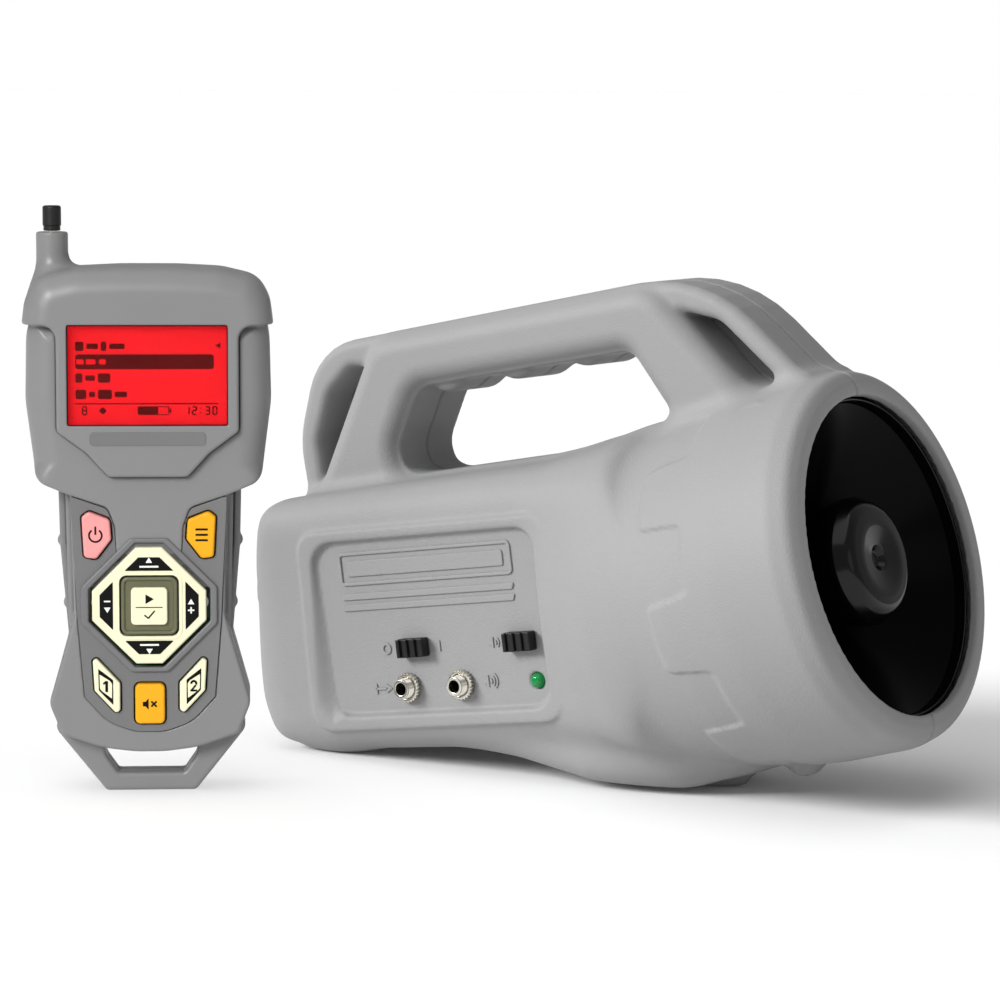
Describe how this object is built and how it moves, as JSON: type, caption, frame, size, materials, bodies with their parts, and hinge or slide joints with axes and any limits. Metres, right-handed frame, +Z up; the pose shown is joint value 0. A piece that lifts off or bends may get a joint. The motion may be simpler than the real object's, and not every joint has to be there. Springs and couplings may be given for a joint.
{
  "type": "electronic game caller",
  "caption": "Carry-handled outdoor speaker unit with a flared horn, slide switches and audio jacks, and its handheld radio remote with display, keys and telescoping antenna.",
  "frame": {"origin": "on the ground under the keel of the speaker unit, in the plane where its two housing halves meet", "axes": "+X the way the horn faces, +Z up, the control panel is on the -Y side"},
  "size_m": [0.2305, 0.184, 0.1631],
  "materials": {
    "housing_plastic": "moulded grey plastic with a fine pebble texture",
    "remote_plastic": "moulded grey plastic, smooth satin",
    "plate_plastic": "darker grey satin plastic",
    "horn_black": "polished black",
    "black_plastic": "black moulded plastic",
    "black_rubber": "soft black rubber",
    "magnet_ferrite": "sintered ferrite",
    "zinc_plated": "zinc plated steel",
    "nickel": "nickel plated brass",
    "copper_foil": "gold coloured film",
    "board_green": "green solder mask",
    "chip_black": "black epoxy",
    "radio_can": "tinned shield can",
    "lamp_green": "lit green lens",
    "cell_jacket": "plain cell jacket",
    "wire_red": "red insulation",
    "window_clear": "clear acrylic",
    "display_red": "red backlit display",
    "key_cream": "translucent cream rubber",
    "key_olive": "grey olive key frame",
    "key_pink": "translucent pink rubber",
    "key_amber": "translucent amber rubber"
  },
  "bodies": {
    "caller": {"shell_right": "housing_plastic", "shell_left": "housing_plastic", "shell_screws": "zinc_plated", "horn_bell": "horn_black", "horn_reflector": "horn_black", "horn_gasket": "black_rubber", "driver_cap": "black_plastic", "driver_magnet": "magnet_ferrite", "driver_yoke": "zinc_plated", "driver_top_plate": "zinc_plated", "driver_diaphragm": "copper_foil", "control_board": "board_green", "board_parts": "chip_black", "radio_receiver": "radio_can", "receiver_aerial": "black_rubber", "board_screws": "zinc_plated", "power_switch_base": "black_plastic", "speaker_switch_base": "black_plastic", "aux_jack_body": "nickel", "aux_jack_nut": "nickel", "speaker_jack_body": "nickel", "speaker_jack_nut": "nickel", "status_lamp": "lamp_green", "battery_tray": "black_plastic", "battery_cells": "cell_jacket", "battery_contacts": "zinc_plated", "speaker_leads": "wire_red", "battery_leads": "black_plastic"},
    "power_knob": {"power_switch_knob": "black_plastic"},
    "speaker_knob": {"speaker_switch_knob": "black_plastic"},
    "bay_door": {"battery_door": "housing_plastic"},
    "remote": {"remote_hood": "remote_plastic", "remote_front_case": "remote_plastic", "remote_back_case": "remote_plastic", "remote_window": "window_clear", "remote_display": "display_red", "remote_key_plate": "plate_plastic", "pad_surround": "remote_plastic", "remote_board": "board_green", "remote_key_domes": "zinc_plated", "antenna_base": "nickel", "remote_cells": "cell_jacket", "remote_contacts": "zinc_plated", "remote_screws": "zinc_plated"},
    "rocker": {"pad_rocker": "black_rubber"},
    "pad": {"direction_pad": "key_cream"},
    "select": {"select_key": "key_olive", "select_cap": "key_cream"},
    "power": {"power_key": "key_pink"},
    "menu": {"menu_key": "key_amber"},
    "one": {"key_one": "key_cream"},
    "two": {"key_two": "key_cream"},
    "mute": {"mute_key": "key_amber"},
    "antenna_mid": {"antenna_middle": "nickel"},
    "antenna_end": {"antenna_tip": "nickel", "antenna_cap": "black_plastic"},
    "remote_cover": {"remote_battery_cover": "remote_plastic"}
  },
  "joints": [
    {"name": "power_switch_slide", "type": "slide", "parent": "caller", "child": "power_knob", "axis": [-0.989, 0, -0.1478], "range_m": [0, 0.003]},
    {"name": "speaker_switch_slide", "type": "slide", "parent": "caller", "child": "speaker_knob", "axis": [-0.989, 0, -0.1478], "range_m": [0, 0.003]},
    {"name": "battery_door_hinge", "type": "hinge", "parent": "caller", "child": "bay_door", "pos_m": [-0.04275, 0.035, 0.02174], "axis": [-0.989, 0, -0.1478], "range_deg": [0, 90]},
    {"name": "remote_lift_off", "type": "slide", "parent": "caller", "child": "remote", "axis": [0, 0, 1], "range_m": [0, 0.15]},
    {"name": "pad_rock_left_right", "type": "hinge", "parent": "remote", "child": "rocker", "pos_m": [-0.09358, -0.10346, 0.0537], "axis": [0, 0, 1], "range_deg": [-3, 3], "stiffness_Nm_per_rad": 0.6},
    {"name": "pad_rock_up_down", "type": "hinge", "parent": "rocker", "child": "pad", "pos_m": [-0.09261, -0.10466, 0.0537], "axis": [0.7771, 0.6293, 0], "range_deg": [-3, 3], "stiffness_Nm_per_rad": 0.6},
    {"name": "select_press", "type": "slide", "parent": "remote", "child": "select", "axis": [-0.6293, 0.7771, 0], "range_m": [0, 0.0008], "stiffness_N_per_m": 800},
    {"name": "power_press", "type": "slide", "parent": "remote", "child": "power", "axis": [-0.6293, 0.7771, 0], "range_m": [0, 0.0008], "stiffness_N_per_m": 800},
    {"name": "menu_press", "type": "slide", "parent": "remote", "child": "menu", "axis": [-0.6293, 0.7771, 0], "range_m": [0, 0.0008], "stiffness_N_per_m": 800},
    {"name": "one_press", "type": "slide", "parent": "remote", "child": "one", "axis": [-0.6293, 0.7771, 0], "range_m": [0, 0.0008], "stiffness_N_per_m": 800},
    {"name": "two_press", "type": "slide", "parent": "remote", "child": "two", "axis": [-0.6293, 0.7771, 0], "range_m": [0, 0.0008], "stiffness_N_per_m": 800},
    {"name": "mute_press", "type": "slide", "parent": "remote", "child": "mute", "axis": [-0.6293, 0.7771, 0], "range_m": [0, 0.0008], "stiffness_N_per_m": 800},
    {"name": "antenna_middle_pull", "type": "slide", "parent": "remote", "child": "antenna_mid", "axis": [0, 0, 1], "range_m": [0, 0.05]},
    {"name": "antenna_tip_pull", "type": "slide", "parent": "antenna_mid", "child": "antenna_end", "axis": [0, 0, 1], "range_m": [0, 0.05]},
    {"name": "remote_cover_unclip", "type": "slide", "parent": "remote", "child": "remote_cover", "axis": [-0.6293, 0.7771, 0], "range_m": [0, 0.02]}
  ]
}
